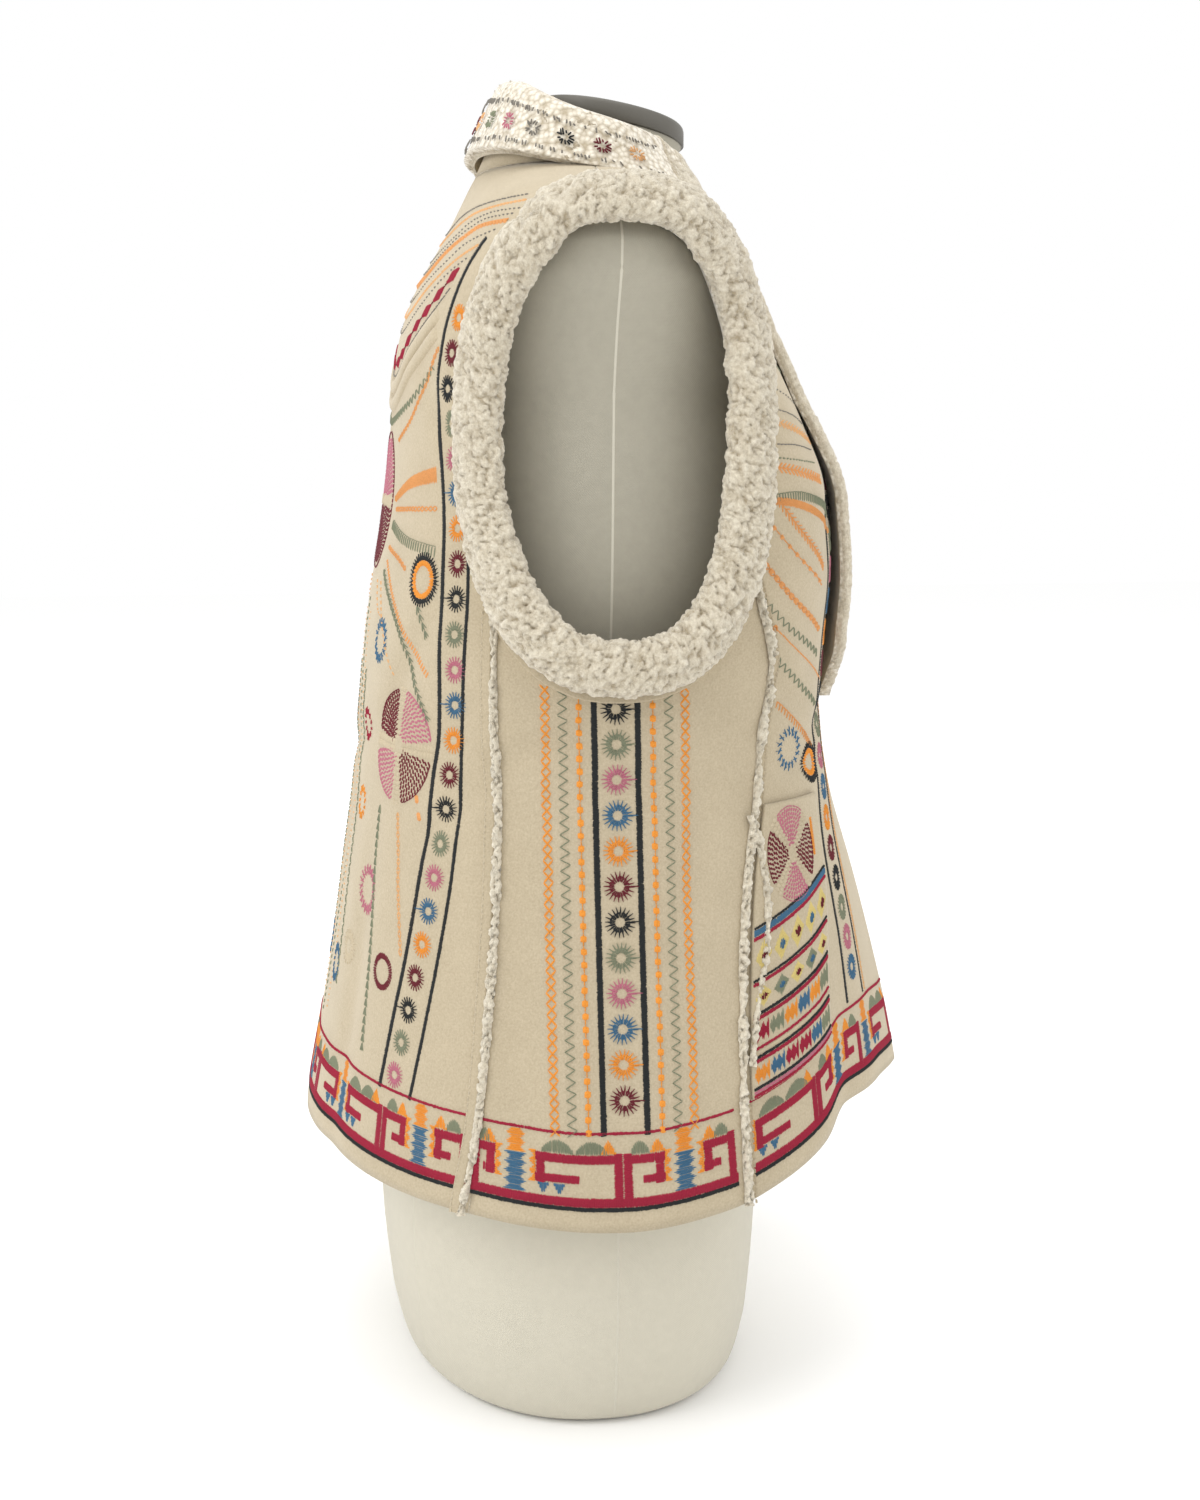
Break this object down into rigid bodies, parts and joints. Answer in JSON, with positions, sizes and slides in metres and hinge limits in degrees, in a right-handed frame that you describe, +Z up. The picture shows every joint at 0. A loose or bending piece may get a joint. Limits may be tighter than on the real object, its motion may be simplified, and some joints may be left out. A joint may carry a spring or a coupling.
{
  "type": "embroidered shearling vest on a limbless dress form",
  "caption": "Sleeveless open-front shearling vest with fold-over fleece collar, fleece armhole bands and patch pockets, worn by a plain dress form.",
  "frame": {"origin": "middle of the dress form's underside, below the middle of the whole part", "axes": "+Z up; the front of the vest faces -Y; the wearer's right side is at -X"},
  "size_m": [0.4262, 0.3578, 0.7547],
  "materials": {
    "suede": "napped cream suede, matt",
    "fleece": "curled cream wool, matt",
    "thread": "satin embroidery thread in several colours",
    "form_linen": "plain woven linen, matt",
    "cap_grey": "grey painted neck cap, satin"
  },
  "bodies": {
    "root": {"back_panel": "suede", "front_panel_right": "suede", "front_panel_left": "suede", "side_panel_right": "suede", "side_panel_left": "suede", "pocket_right": "suede", "pocket_left": "suede", "collar": "fleece", "armhole_roll_right": "fleece", "armhole_roll_left": "fleece", "seam_trim_front_right": "fleece", "seam_trim_front_left": "fleece", "seam_trim_back_right": "fleece", "seam_trim_back_left": "fleece", "form_torso": "form_linen", "form_neck_cap": "cap_grey"}
  },
  "joints": []
}
